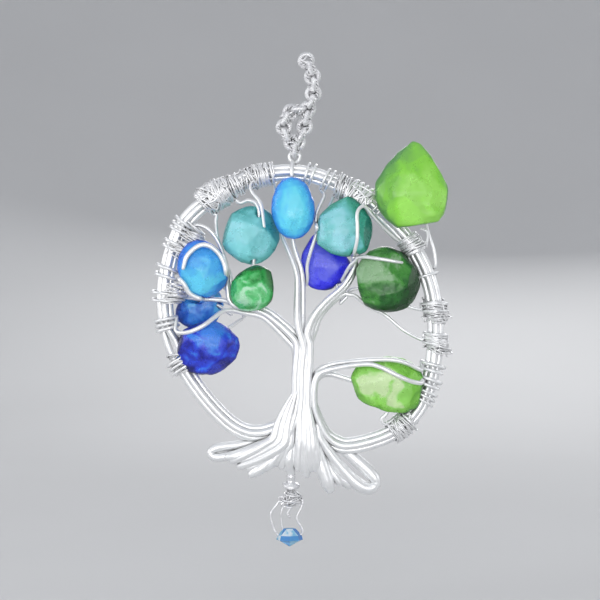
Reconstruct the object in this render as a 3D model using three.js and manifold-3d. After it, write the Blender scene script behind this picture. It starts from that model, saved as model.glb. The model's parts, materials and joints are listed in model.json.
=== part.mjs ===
// Hanging wire tree in a hoop, with glass nuggets tied in by its own wires, a chain and a crystal drop.
// Millimetres, +Z up. The front faces -Y. The origin is the inside top of the highest chain link.
// Wire points are written [x, z, y, r] about the middle of the hoop; y and r carry on when left out.
import * as THREE from 'three';
import { ConvexGeometry } from 'three/addons/geometries/ConvexGeometry.js';
import { mergeVertices } from 'three/addons/utils/BufferGeometryUtils.js';
import Module from 'manifold-3d';

const wasm = await Module();
wasm.setup();

const HOOP_R = 1.0; // wire radius in the hoop, the trunk and the roots
const THIN_R = 0.65; // where a wire has left its branch
const COIL_R = 0.48; // where a wire is wound round the hoop
const GAP = 0.36; // air between two wires
const STEP = 1.0; // spacing of the points that are kept apart
const SIDES = 5; // faces round a wire
const LINK_R = 2.1; // chain link, middle of the wire
const LINK_WIRE = 0.5;
const EYE_WIRE = 0.45; // the bent ends the drop hangs on
const DROP_WIRE = 0.35; // the drop's own wires
const DROP_X = -3; // the drop hangs on this line

// ---------- materials ----------

function metal(name, color, roughness) {
  return new THREE.MeshStandardMaterial({ name, color, metalness: 1, roughness });
}

function glass(name, color) {
  return new THREE.MeshStandardMaterial({ name, color, metalness: 0, roughness: 0.15 });
}

const silver = metal('silver_wire', 0xdfe2e6, 0.32);
const bright = metal('bright_chain', 0xd0d3d8, 0.22);
const crystal = glass('blue_crystal', 0x6f9fd8);

// ---------- the hoop's own line ----------

const HOOP_LINE = curveOf([
  [-8, -41.6], [-13, -43.2], [-19, -42.9], [-25, -39.4], [-30, -34.6], [-35, -28.6], [-39.5, -22],
  [-43.5, -15], [-46, -8], [-47.3, 0], [-47.3, 8], [-46, 16], [-43.8, 23.5], [-40.5, 30.5],
  [-35.5, 35.8], [-30, 39.5], [-24, 43.1], [-17, 46.3], [-9, 48], [-2, 48.3], [5, 47.3], [12, 44.8],
  [19, 41.5], [25.5, 37], [31, 32], [36, 27], [40.2, 21.5], [43.7, 15], [46.2, 8], [47.6, 0],
  [47.9, -8], [47.4, -16], [46, -24], [43.7, -31], [40, -37], [35, -41.8], [29, -44.9], [22, -47],
  [15.5, -47.8], [10.5, -45.3],
]);

function curveOf(flat) {
  const points = flat.map(([x, z, y = 0]) => new THREE.Vector3(x, y, z));
  return new THREE.CatmullRomCurve3(points, false, 'centripetal');
}

// A place on the hoop's line, moved out from the middle and forward or back.
function onHoop(u, out, y) {
  const p = HOOP_LINE.getPointAt(u);
  const t = HOOP_LINE.getTangentAt(u);
  return [p.x - t.z * out, p.z + t.x * out, y];
}

function hoopParameter(x, z) {
  const target = new THREE.Vector3(x, 0, z);
  let best = 0;
  for (let k = 0; k <= 600; k += 1) {
    const here = HOOP_LINE.getPointAt(k / 600).distanceTo(target);
    if (here < HOOP_LINE.getPointAt(best).distanceTo(target)) best = k / 600;
  }
  return best;
}

// ---------- pieces of a wire's path ----------

// One of the hoop's three wires all the way round. Two of them cut the corner behind the lower left glass.
function round(out, y, cut) {
  const points = [];
  for (let k = 0; k <= 60; k += 1) {
    const [x, z] = onHoop(k / 60, out, y);
    const near = x < 0 ? Math.exp(-(((z + 13) / 4.5) ** 2)) : 0;
    const [cx, cz] = onHoop(k / 60, out - cut * near, y);
    points.push([cx, cz, y + 0.4 * near * cut, HOOP_R]);
  }
  return { points, fixed: true };
}

// Turns of wire round the hoop. They start on its inner side and cross the front first; phase 1 starts outside.
function coil([x, z], turns, pitch, { wide = 3.85, deep = 3.4, back = false, phase = 0 } = {}) {
  const length = HOOP_LINE.getLength();
  const start = hoopParameter(x, z) - (turns * pitch) / 2 / length;
  const count = Math.round(turns * 14);
  const points = [];
  for (let k = 0; k <= count; k += 1) {
    const turn = (k / count) * turns;
    const angle = Math.PI * (1 + phase + 2 * turn);
    const along = back ? turns - turn : turn;
    const u = THREE.MathUtils.clamp(start + (along * pitch) / length, 0, 1);
    points.push([...onHoop(u, wide * Math.cos(angle), deep * Math.sin(angle)), COIL_R]);
  }
  return { points, fixed: true };
}

// Part of a circle facing the front, for an end bent into an eye. Angles run from the right, upwards.
function eye([x, z], radius, from, to, y0, y1, r) {
  const points = [];
  const count = Math.ceil(Math.abs(to - from) / 30);
  for (let k = 0; k <= count; k += 1) {
    const angle = THREE.MathUtils.degToRad(from + ((to - from) * k) / count);
    const y = y0 + ((y1 - y0) * k) / count;
    points.push([x + radius * Math.cos(angle), z + radius * Math.sin(angle), y, r]);
  }
  return { points, fixed: true };
}

function free(...points) {
  return { points, fixed: false };
}

function set(...points) {
  return { points, fixed: true };
}

function reversed(section) {
  return { points: [...section.points].reverse(), fixed: section.fixed };
}

// A wire's place in the trunk, from the roots up. The trunk leans a little to the left at the top.
function trunk(slot, y, from = -33, to = -16) {
  const points = [];
  for (let z = from; z <= to; z += 5) {
    points.push([1.95 + slot + 0.03 * (z + 20), z, y, HOOP_R]);
  }
  return points;
}

const down = (points) => [...points].reverse();

// Points beside the middle line of a branch.
function beside(line, out, y, first = 0, last = 1, thin = HOOP_R) {
  const curve = curveOf(line);
  const points = [];
  for (let k = 0; k <= 5; k += 1) {
    const u = first + ((last - first) * k) / 5;
    const p = curve.getPointAt(u);
    const t = curve.getTangentAt(u);
    const close = 1 - 0.3 * u;
    points.push([p.x - t.z * out * close, p.z + t.x * out * close, y, HOOP_R + (thin - HOOP_R) * u]);
  }
  return points;
}

const LEFT_BRANCH = [[-0.4, -12.5], [-2.8, -9.8], [-6.5, -6], [-12, -1.4], [-17.5, 0.5], [-22, 1.0]];
const RIGHT_BRANCH = [[3.6, -9], [5.6, -3], [9, 1.5], [13, 5], [16.3, 8.3], [18.6, 12.2], [19.6, 16]];

// ---------- the wires ----------

const WIRES = {
  hoop_wire_outer: [
    reversed(coil([-47, 13.4], 1.5, 3, { wide: 4 })),
    free([-42, 11, -3.2, THIN_R], [-40, 9, -4.5], [-38.3, 6, -4.5], [-35.5, 4.3, -4], [-31, 3.7, -3], [-27, 3.5, -0.8],
      [-24.6, 2.7, 0.2]),
    free(...down(beside(LEFT_BRANCH, -1.8, 0, 0, 1, 0.75))),
    free(...down(trunk(-1.03, 0, -33, -18)), [0.2, -37.5, 0], [-3, -41.5, 0.3]),
    round(1.7, 0.7, 0),
    free([6.3, -40, 0.3], [3.9, -35, 0], ...trunk(1.03, 0, -31, -16)),
    free(...beside(RIGHT_BRANCH, -0.2, 0.9, 0, 1, 0.8)),
    free([18.8, 19, 0, THIN_R], [17, 24, -2], [15.8, 30, -3], [17, 36, -1.5], [18, 38.2, 0]),
    coil([21.3, 40.4], 4, 1.75, { wide: 4.2, deep: 3.9 }),
  ],
  hoop_wire_front: [
    free([-40.2, 14.5, -7, 0.5], [-39.5, 17.5, -7, THIN_R], [-37, 20.8], [-33.5, 22.6, -6], [-30, 21.5],
      [-27, 18, -5.5], [-25.5, 13, -4], [-25.3, 8, -3], [-24.6, 3.4, -3]),
    free(...down(beside(LEFT_BRANCH, 0, -1.9, 0, 1, 0.75))),
    free(...down(trunk(-3.1, -2.1, -33, -18)), [-3, -37.6, -1.6], [-5.6, -40.4, -1.2]),
    round(0, -1.0, 1.6),
    free([8, -41.6, -1.4], [6, -36.5, -2], ...trunk(3.1, -2.1, -33, -25)),
    free([6.6, -22.6, -2.4], [9.5, -21.2, -2.6, 0.8], [14, -20.1, -3, THIN_R], [20, -19.3, -4.5],
      [25, -18.9, -6], [29, -20.2, -7], [34, -22.7, -7], [39, -24.8, -5.5], [42.6, -25.2, -3]),
    coil([46.2, -25.6], 1.4, 2.2, { wide: 4.2 }),
  ],
  hoop_wire_inner: [
    reversed(coil([-47.5, -5.2], 2.5, 1.7, { back: true })),
    free([-43, -7.4, -3, 0.55], [-39, -7.8, -5.2, THIN_R], [-35, -6.3, -5], [-32, -4.5], [-29, -2, -3.5],
      [-26, -0.2, -1.4]),
    free(...down(beside(LEFT_BRANCH, 1.8, 0, 0, 1, 0.75))),
    free(...down(trunk(-3.1, 0, -33, -18)), [-2.6, -36, 0.2], [-5, -38.6, 0.5]),
    round(-1.6, 0.8, 2.4),
    free([8.6, -43, 0.5], [6.8, -38, 0.2], ...trunk(3.1, 0, -33, -25)),
    free([6.6, -21.6, -0.4], [9.8, -19.6, -0.6, 0.8], [13, -18.8, -1.5, THIN_R], [18, -18.2, -3],
      [25, -17.4, -4], [32, -17.3, -4.5], [38, -18.8, -4.5], [42.6, -20.9, -3]),
    coil([47.2, -20.4], 1.4, 2.2, { wide: 4.2 }),
  ],
  root_wire_left_hairpin: [
    free([-9, -45.6, 2.6, HOOP_R], [-14, -47.6, 1.6], [-20, -50, 0.6], [-27, -51.8, 0], [-30.4, -51.7],
      [-31.4, -50.2], [-29.6, -48.8], [-24, -48.1, 0.8], [-18, -47, 2.6], [-11, -44.6, 4.2], [-5, -40.4, 3.6]),
    free(...trunk(-3.1, 2.1, -34, -14)),
    free(...beside(LEFT_BRANCH, 0, 2.0, 0, 1, 0.8)),
    free([-24.4, 4, 2.5, THIN_R], [-25, 10, 3], [-26.5, 18, 3], [-28.6, 24, 2], [-29.6, 30, 1], [-29.4, 33.6, 0]),
    coil([-29.3, 39.7], 5, 1.75, { wide: 4.3, deep: 3.8 }),
  ],
  root_wire_front_left: [
    free([-16.6, -57.6, -1, HOOP_R], [-13, -55.3, -1.4], [-7.5, -49.5, -2], [-3, -42, -2.6], [-0.4, -37, -2.2]),
    free(...trunk(-1.03, -2.1, -32, -12)),
    free([0.2, -9, -2], [-0.8, -3, -1.6], [-0.9, 5, -1.2], [-1, 13, -1], [-2.8, 18, 0, 0.75],
      [-5.4, 24, 2, THIN_R], [-7.6, 31, 4.5], [-8.4, 38, 4.5], [-8.6, 42.5, 2]),
    coil([-11.4, 47.6], 2.5, 1.6, { back: true }),
    free([-17.2, 42.6, -3.6], [-15.6, 40, -4.6, THIN_R], [-13.6, 37, -6], [-13, 33, -7.5], [-12.2, 29, -8.5, 0.5]),
  ],
  root_wire_middle: [
    eye([-3, -56.2], 1.15, 190, 540, -0.4, 0.4, EYE_WIRE),
    free([-4.1, -54.4, 0.6, 0.7], [-3.4, -51, 0.6, HOOP_R], [-2.6, -46, 0.8], [-1.6, -41, 1.6], [0, -37, 2.2]),
    free(...trunk(-1.03, 2.1, -32, -12)),
    free([1.1, -9, 1.8], [1.2, -3, 1.2], [1.1, 5, 1], [1, 12, 1], [-0.6, 18, 1, 0.75], [-2.2, 24, 0, THIN_R],
      [-2.2, 30, -2], [-1.4, 38, -2], [1, 43.6, -1]),
    coil([3.6, 47.7], 1.5, 2.2),
  ],
  root_wire_front_right: [
    free([10.6, -62.8, -1, HOOP_R], [8.6, -57.5, -1.4], [6, -50, -2], [4, -42, -2.6], [3.4, -37, -2.2]),
    free(...trunk(1.03, -2.1, -32, -12)),
    free(...beside(RIGHT_BRANCH, 1.0, -1.2, 0, 1, 0.8)),
    free([19, 20, -5, THIN_R], [19.8, 24, -7.5], [20, 28, -8], [19.7, 32, -7.5], [20.6, 35, -6], [22.2, 36, -5.4],
      [24, 34.5, -5], [27, 31, -4.6], [30, 28, -4.2], [33, 25.4, -3.6], [35.6, 23.6, -3]),
    coil([39.2, 22.8], 3.5, 1.7),
    free([44.4, 22.6, -1.5, 0.5], [45, 25.4, -2.2], [44.4, 27.8, -2.8], [42.6, 28.4, -3]),
  ],
  root_wire_right_hairpin: [
    free([7.4, -44.6, -0.4, HOOP_R], [11, -50.6, -0.4], [16, -56.8, 0], [21.4, -61.8, 0], [24.8, -62.8],
      [27, -61], [26, -58.6], [22, -54.7, 0.8], [17, -50.4, 2.8], [11.5, -45, 4.2], [6.6, -39.4, 3.6]),
    free(...trunk(1.03, 2.1, -33, -13)),
    free(...beside(RIGHT_BRANCH, -1.2, 2.4, 0, 0.5, 0.9)),
    free([15.4, 5.3, 2, 0.8], [18.4, 5.5, 1], [20.6, 4.3, 0, THIN_R], [23, 2, 0], [26.4, 0.2], [30, -1.6],
      [35, -6, 0], [40, -9, -1], [43.6, -10.4, -2]),
    coil([47.8, -10.8], 3, 1.7, { wide: 4.1 }),
  ],
  root_wire_back_right: [
    free([17.4, -61.6, 1, HOOP_R], [13, -57.2, 1.4], [8.4, -50, 2], [5.6, -42, 2.6], [5, -37, 2.4]),
    free(...trunk(3.1, 2.1, -32, -25)),
    free([6.2, -23.8, 1.6], [9, -22.6, 0.6, 0.8], [13, -23.1, -0.6, THIN_R], [17, -24.5, -1.5], [25, -26.2, -2],
      [34, -28.4, -2], [40.4, -30, -1]),
    coil([44.4, -30.2], 2.5, 1.7),
  ],
  root_pair_left: [
    free([-25.4, -53.8, -0.6, HOOP_R], [-18, -50.4, -1.6], [-10.8, -46.3, -3], [-7, -43.4, -4], [-5.4, -42.2, -4.2],
      [-3.9, -42.6, -4.4], [-3.6, -44.2, -4.4], [-5.2, -46.8, -4.2], [-9.6, -50, -3], [-15, -52.8, -1.6],
      [-20.8, -54.9, -0.4]),
  ],
  root_pair_middle: [
    free([-6.7, -55.4, -1, HOOP_R], [-4.6, -49.8, -2], [-3.1, -45.4, -4.2], [-2.7, -43.8, -4.6], [-1.5, -42.7, -4.8],
      [-0.1, -43.5, -4.7], [0.2, -45.4, -4.4], [-0.2, -51, -2.4], [-0.3, -57.4, -1.6]),
  ],
  root_pair_right: [
    free([2.6, -59, -0.8, HOOP_R], [1.7, -52.4, -2], [1.5, -46, -4.2], [1.9, -44, -4.6], [3.1, -43.1, -4.8],
      [4.4, -43.8, -4.6], [4.7, -45.6, -4.4], [5.1, -50.4, -2.8], [6.2, -57.2, -1.4]),
  ],
  tie_wire_upper_left: [
    free([-20.6, -1, 3.4, THIN_R], [-23.4, 3, 0.6], [-24, 9, -1], [-26.2, 18, -1], [-29, 24.6, -1], [-31.2, 27.6, -2],
      [-34, 29.4, -2.6], [-37, 29.6, -2.6]),
    coil([-41.4, 29.2], 2.5, 1.7),
  ],
  tie_wire_green_and_aqua: [
    free([-19.8, -2.4, 5, THIN_R], [-18.2, 1.2, 5], [-17, 4.8, 3], [-16.4, 9, -1], [-16.2, 15.6, -2], [-15, 26, -2.2],
      [-14.2, 34.6, -2.2], [-15.4, 37.4], [-18.2, 38.5], [-20.8, 37.6], [-22.4, 38.6, -1.4]),
    coil([-22.6, 43.8], 1.5, 1.9),
  ],
  tie_wire_sky: [
    free([-22, 3.8, 4.2, THIN_R], [-26, 7.4, 0], [-33, 13.8, -3], [-38.6, 19.6, -2], [-40.2, 21.4, -1]),
    coil([-44.3, 22.2], 1.5, 2.0),
  ],
  tie_wire_mid_blue: [
    free([-24.4, -1.6, 4.6, THIN_R], [-29, 1.6, 3.6], [-36, 3.4, 3], [-42, 4.4, 1.4]),
    coil([-47.4, 5.2], 2, 2.6, { wide: 4.5, deep: 3.5 }),
  ],
  tie_wire_royal: [
    free([-20.6, -3.4, 3.6, THIN_R], [-24.6, -6, 1], [-31, -12, -2], [-35, -16.2, -3]),
    coil([-41.8, -18.6], 2.5, 1.7, { back: true, wide: 4.9, deep: 3.8 }),
  ],
  tie_wire_azure_side: [
    free([2.4, 9, 2.6, THIN_R], [2.8, 16, 0], [4.6, 22.4, -3], [6, 27.4, -4.6], [5.8, 33, -4], [8, 38, -2.4],
      [8.6, 41, -1]),
    coil([9.9, 45.6], 1.5, 2.0),
  ],
  tie_wire_ultramarine: [
    free([14.4, 3.6, 4, THIN_R], [13.4, 8.4, 4], [9.4, 16, 3.6], [6.6, 24, 3.8], [8.6, 32, 4.4], [11.6, 38.6, 2]),
    coil([14.6, 43.6], 1.4, 2.0),
  ],
  tie_wire_lime_pear: [
    coil([27.4, 35.3], 1.4, 2.0),
    free([29.4, 40, -4.8, 0.55], [33, 42, -5.2, THIN_R], [39, 40, -6], [43, 34, -5], [44.6, 28.4, -1], [46.4, 24, 1.4],
      [47.8, 18.4, 1]),
    coil([45, 12.4], 1.4, 2.0, { phase: 1 }),
  ],
  tie_wire_dark_green_front: [
    free([15, 10.6, 2.8, THIN_R], [18.2, 15.4, -1.6], [20.4, 18.4, -4.4], [23.4, 18.2, -6], [28, 17.7, -7],
      [32, 17, -7], [35.5, 16.5, -6.4, 0.5]),
  ],
  tie_wire_dark_green: [
    free([14.6, 2.6, 3.6, THIN_R], [19, 7.2, 2.4], [24, 7, 0], [32, 4, -1.2], [39, 0.9, -1], [43, 0.4, -1.4]),
    coil([47.6, 0.2], 2, 2.6, { wide: 4.6, deep: 3.5 }),
  ],
  tie_wire_lime_drop: [
    free([31, -31, -3, THIN_R], [30.6, -36, -3], [28.8, -38.2, -3], [30, -40, -3.4], [32.2, -38.8, -3.8]),
    coil([36.6, -40.4], 3.5, 1.75, { wide: 3.9 }),
  ],
};


const HANGER = {
  hanger_eye: [
    set([-1.0, 45.6, 2.8, 0.65], [-1.0, 48.4, 3.5], [-1.1, 50.9, 2.5], [-1.3, 52, 1.1]),
    eye([-1.8, 53.8], 1.85, -60, 240, 0.75, -0.75, 0.65),
    set([-2.6, 51.8, -1.5], [-2.7, 50.2, -3.1], [-2.7, 47.8, -3.8], [-2.6, 45.4, -2.9], [-2.6, 44.2, -1]),
  ],
};

// ---------- the glass ----------

// at is the widest place, half is the half width and half depth, up and down reach from there to the ends.
// tilt turns the nugget seen from the front, narrow pinches its upper end, bumps roughens it.
const NUGGETS = {
  glass_azure: { at: [-2.5, -4.2, 35.5], half: [7.5, 5.2], up: 10.7, down: 10.7, tilt: 4, narrow: 0.02, bumps: 0.03,
    color: 0x3fb8ff, facets: 2 },
  glass_aqua: { at: [-17, 0.2, 26.4], half: [10, 5.8], up: 9.9, down: 10.6, tilt: -20, narrow: 0.04, bumps: 0.04,
    color: 0x7fdce0, facets: 4 },
  glass_sky: { at: [-34, -3.8, 14], half: [8.6, 5.4], up: 10.2, down: 9.8, tilt: 12, narrow: 0.05, bumps: 0.04,
    color: 0x3aa0ff, facets: 3 },
  glass_green: { at: [-16.4, -4.8, 7.4], half: [7.6, 5.2], up: 8.4, down: 7.9, tilt: -25, narrow: 0.05, bumps: 0.09,
    color: 0x3cc05a, facets: 6 },
  glass_mid_blue: { at: [-35.4, 4.7, 1.4], half: [8.2, 4], up: 5.8, down: 8, tilt: 28, narrow: -0.1, bumps: 0.08,
    color: 0x2f6fe0, facets: 4 },
  glass_royal: { at: [-32.1, -2, -13], half: [10.8, 5.8], up: 9.5, down: 9.6, tilt: 10, narrow: 0.06, bumps: 0.06,
    color: 0x2f3fd0, facets: 6 },
  glass_teal: { at: [15.9, -4.6, 27.6], half: [9.8, 5.2], up: 11.4, down: 8.7, tilt: -4, narrow: 0.3, bumps: 0.05,
    color: 0x54bdb0, facets: 5 },
  glass_ultramarine: { at: [9.2, 4.2, 15.2], half: [8.6, 4.2], up: 12, down: 8.2, tilt: 22, narrow: 0.28, bumps: 0.06,
    color: 0x2030e8, facets: 4 },
  glass_lime_pear: { at: [39.1, -6, 40.6], half: [12.4, 6.6], up: 18.4, down: 12.2, tilt: -2, narrow: 0.42, bumps: 0.03,
    color: 0x96e25a, facets: 6 },
  glass_dark_green: { at: [31, -1.6, 10], half: [11.4, 6.6], up: 12.5, down: 11, tilt: 14, narrow: 0.16, bumps: 0.04,
    color: 0x3f9a44, facets: 6 },
  glass_lime_drop: { at: [31.2, -2, -26.2], half: [10.2, 6], up: 15.2, down: 12, tilt: 82, narrow: 0.34, bumps: 0.06,
    color: 0x8fdc50, facets: 5 },
};

// Repeatable noise between -1 and 1.
function noise(seed) {
  const s = Math.sin(seed * 127.1 + 311.7) * 43758.5453;
  return 2 * (s - Math.floor(s)) - 1;
}

function directions(count, seed) {
  return Array.from({ length: count }, (_, k) => new THREE.Vector3(
    noise(seed + k * 3), noise(seed + k * 3 + 1) - 0.4, noise(seed + k * 3 + 2)).normalize());
}

// The nugget's surface in a direction, before it is turned: an egg with waves and a few flattened faces.
function nuggetPoint(d, spec, waves, faces) {
  let swell = 1;
  waves.forEach((w, k) => {
    swell += (spec.bumps / 2) * Math.sin(3 * d.dot(w) + k);
  });
  const p = d.clone().multiplyScalar(swell);
  faces.forEach((f) => {
    const over = p.dot(f) - 0.88;
    if (over > 0) p.addScaledVector(f, -over);
  });
  const pinch = p.z > 0 ? 1 - spec.narrow * p.z * p.z : 1;
  return new THREE.Vector3(p.x * spec.half[0] * pinch, p.y * spec.half[1] * pinch, p.z * (p.z > 0 ? spec.up : spec.down));
}

function placeOf(spec) {
  const turn = new THREE.Matrix4().makeRotationY(-THREE.MathUtils.degToRad(spec.tilt));
  return new THREE.Matrix4().makeTranslation(...spec.at).multiply(turn);
}

function nuggetGeometry(spec, seed) {
  const shape = bare(new THREE.IcosahedronGeometry(1, 2));
  const waves = directions(4, seed * 31);
  const faces = directions(spec.facets, seed * 57 + 5);
  const position = shape.attributes.position;
  for (let k = 0; k < position.count; k += 1) {
    const d = new THREE.Vector3().fromBufferAttribute(position, k).normalize();
    position.setXYZ(k, ...nuggetPoint(d, spec, waves, faces));
  }
  return shape.applyMatrix4(placeOf(spec));
}

// ---------- tubes ----------

// A path that passes exactly through its own points, one ring of the tube at each.
class WirePath extends THREE.Curve {
  constructor(points) {
    super();
    this.points = points;
  }

  getPoint(t, target = new THREE.Vector3()) {
    const last = this.points.length - 1;
    const k = Math.min(last - 1, Math.floor(t * last));
    return target.lerpVectors(this.points[k], this.points[k + 1], t * last - k);
  }

  getPointAt(t, target) {
    return this.getPoint(t, target);
  }

  getTangentAt(t, target = new THREE.Vector3()) {
    const last = this.points.length - 1;
    const k = Math.round(t * last);
    const before = this.points[Math.max(0, k - 1)];
    const after = this.points[Math.min(last, k + 1)];
    return target.subVectors(after, before).normalize();
  }
}

function bare(geometry) {
  geometry.deleteAttribute('normal');
  geometry.deleteAttribute('uv');
  return mergeVertices(geometry, 1e-4);
}

// A closed tube along the points whose radius follows radii.
function tube(points, radii, sides) {
  const ring = Array.from({ length: sides }, (_, k) => {
    const angle = (2 * Math.PI * k) / sides;
    return new THREE.Vector2(Math.cos(angle), Math.sin(angle));
  });
  const path = new WirePath(points);
  const steps = points.length - 1;
  const made = bare(new THREE.ExtrudeGeometry(new THREE.Shape(ring), { steps, extrudePath: path, bevelEnabled: false }));
  const position = made.attributes.position;
  for (let k = 0; k < position.count; k += 1) {
    const v = new THREE.Vector3().fromBufferAttribute(position, k);
    const off = points.map((p) => Math.abs(p.distanceTo(v) - 1));
    const at = off.indexOf(Math.min(...off));
    v.sub(points[at]).multiplyScalar(radii[at]).add(points[at]);
    position.setXYZ(k, v.x, v.y, v.z);
  }
  return made;
}

// ---------- keeping the wires apart ----------

// Points about STEP apart along a wire, each with its radius and whether it may move.
function sampled(name, sections) {
  const flat = [];
  sections.forEach((section) => {
    let [, , y, r] = section.points[0];
    y ??= flat.at(-1)?.y ?? 0;
    r ??= flat.at(-1)?.r ?? HOOP_R;
    section.points.forEach((point) => {
      y = point[2] ?? y;
      r = point[3] ?? r;
      flat.push({ p: new THREE.Vector3(point[0], y, point[1]), x: point[0], y, r, fixed: section.fixed });
    });
  });
  const curve = new THREE.CatmullRomCurve3(flat.map((f) => f.p), false, 'centripetal');
  const points = [];
  flat.slice(1).forEach((end, k) => {
    const start = flat[k];
    const parts = Math.max(1, Math.round(start.p.distanceTo(end.p) / STEP));
    for (let j = 0; j < parts; j += 1) {
      const u = j / parts;
      points.push({
        p: curve.getPoint((k + u) / (flat.length - 1)),
        r: start.r + (end.r - start.r) * u,
        fixed: start.fixed && end.fixed,
        name,
      });
    }
  });
  points.push({ p: flat.at(-1).p.clone(), r: flat.at(-1).r, fixed: flat.at(-1).fixed, name });
  return points;
}

// One pass over all close pairs of points on different wires. Movement is mostly forward and back.
function pushPairs(all, order) {
  order.sort((a, b) => all[a].p.x - all[b].p.x);
  const span = 2 * HOOP_R + GAP;
  for (let i = 0; i < order.length; i += 1) {
    const a = all[order[i]];
    for (let j = i + 1; j < order.length; j += 1) {
      const b = all[order[j]];
      const dx = b.p.x - a.p.x;
      if (dx > span) break;
      if (a.name === b.name || (a.fixed && b.fixed)) continue;
      const need = a.r + b.r + GAP;
      const dz = b.p.z - a.p.z;
      const dy = b.p.y - a.p.y;
      const d = Math.hypot(dx, dy, dz);
      if (d >= need) continue;
      const forward = Math.abs(dy) > 0.02 ? dy : 0.1 * (a.name < b.name ? 1 : -1);
      const way = new THREE.Vector3(0.35 * dx, forward, 0.35 * dz).normalize();
      const share = (need - d) * (a.fixed || b.fixed ? 0.6 : 0.3);
      if (!a.fixed) a.p.addScaledVector(way, -share);
      if (!b.fixed) b.p.addScaledVector(way, share);
    }
  }
}

// Moves a point that is inside a nugget out to its front or back, unless the wire is threaded through it.
function pushFromGlass(point, glassList) {
  if (point.fixed) return;
  glassList.forEach(({ spec, inverse, threaded }) => {
    if (threaded.has(point.name)) return;
    const q = point.p.clone().applyMatrix4(inverse);
    const clear = point.r + GAP;
    const a = q.x / (spec.half[0] + clear);
    const c = q.z / ((q.z > 0 ? spec.up : spec.down) + clear);
    const rest = 1 - a * a - c * c;
    if (rest <= 0) return;
    const depth = (spec.half[1] + clear) * Math.sqrt(rest);
    if (Math.abs(q.y) >= depth) return;
    const side = q.y > 0 ? 1 : -1;
    point.p.y += 0.5 * (side * depth - q.y);
  });
}

function smooth(points, amount) {
  const before = points.map((s) => s.p.y);
  points.forEach((s, k) => {
    if (s.fixed || k === 0 || k === points.length - 1) return;
    s.p.y += amount * ((before[k - 1] + before[k + 1]) / 2 - before[k]);
  });
}

function keepApart(wires, glassList) {
  const all = Object.values(wires).flat();
  const order = all.map((_, k) => k);
  for (let pass = 0; pass < 170; pass += 1) {
    pushPairs(all, order);
    all.forEach((point) => pushFromGlass(point, glassList));
    if (pass < 130) Object.values(wires).forEach((points) => smooth(points, 0.5));
  }
}

// Leaves out the points that a straight run passes closely enough.
function thinned(points) {
  const kept = [points[0]];
  let start = 0;
  while (start < points.length - 1) {
    let end = start + 1;
    while (end + 1 < points.length && end - start < 14 && straight(points, start, end + 1)) end += 1;
    kept.push(points[end]);
    start = end;
  }
  return kept;
}

function straight(points, start, end) {
  const line = new THREE.Line3(points[start].p, points[end].p);
  const near = new THREE.Vector3();
  return points.slice(start + 1, end).every((s, k) => {
    const u = (k + 1) / (end - start);
    const r = points[start].r + (points[end].r - points[start].r) * u;
    const allowed = s.r > 0.7 ? 0.17 : 0.26;
    return line.closestPointToPoint(s.p, true, near).distanceTo(s.p) < allowed && Math.abs(r - s.r) < 0.1;
  });
}

// ---------- putting the tree together ----------

function toManifold(geometry) {
  const solid = new wasm.Mesh({
    numProp: 3,
    vertProperties: new Float32Array(geometry.attributes.position.array),
    triVerts: new Uint32Array(geometry.index.array),
  });
  return new wasm.Manifold(solid);
}

function fromManifold(solid) {
  const { vertProperties, triVerts } = solid.getMesh();
  const geometry = new THREE.BufferGeometry();
  geometry.setAttribute('position', new THREE.BufferAttribute(new Float32Array(vertProperties), 3));
  geometry.setIndex(new THREE.BufferAttribute(new Uint32Array(triVerts), 1));
  return geometry;
}

function meshOf(name, geometry, material) {
  geometry.computeVertexNormals();
  const mesh = new THREE.Mesh(geometry, material);
  mesh.name = name;
  return mesh;
}

// Runs of a wire near a nugget, as tubes fat enough to leave a gap round the wire.
function borers(points, isNear) {
  const runs = [];
  let run = null;
  points.forEach((s, k) => {
    const near = [points[k - 1], s, points[k + 1]].some((n) => n && isNear(n.p));
    if (near) {
      run ??= [];
      run.push(s);
    }
    if (run && (!near || k === points.length - 1)) {
      if (run.length > 1) runs.push(run);
      run = null;
    }
  });
  return runs.map((part) => toManifold(tube(part.map((s) => s.p), part.map((s) => (s.r + 0.3) / 0.86), 6)));
}

// Cuts away what a wire passing through or close by needs, and keeps the largest piece.
function bored(geometry, wireList, isNear) {
  let solid = toManifold(geometry);
  wireList.forEach((points) => {
    borers(points, isNear).forEach((borer) => {
      solid = solid.subtract(borer);
    });
  });
  const pieces = solid.decompose().sort((a, b) => b.volume() - a.volume());
  return fromManifold(pieces[0].simplify(0.05));
}

function nearNugget(spec) {
  const inverse = placeOf(spec).invert();
  return (p) => {
    const q = p.clone().applyMatrix4(inverse);
    const tall = (q.z > 0 ? spec.up : spec.down) + 1.6;
    return Math.hypot(q.x / (spec.half[0] + 1.6), q.y / (spec.half[1] + 1.6), q.z / tall) < 1;
  };
}

const THREADED = {
  glass_azure: ['root_wire_middle'],
  glass_aqua: ['tie_wire_green_and_aqua'],
  glass_sky: ['tie_wire_sky'],
  glass_green: ['tie_wire_green_and_aqua'],
  glass_mid_blue: ['tie_wire_mid_blue'],
  glass_royal: ['tie_wire_royal'],
  glass_teal: ['hoop_wire_outer'],
  glass_ultramarine: ['tie_wire_ultramarine'],
  glass_lime_pear: ['tie_wire_lime_pear'],
  glass_dark_green: ['tie_wire_dark_green'],
  glass_lime_drop: ['root_wire_back_right', 'tie_wire_lime_drop'],
};

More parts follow.
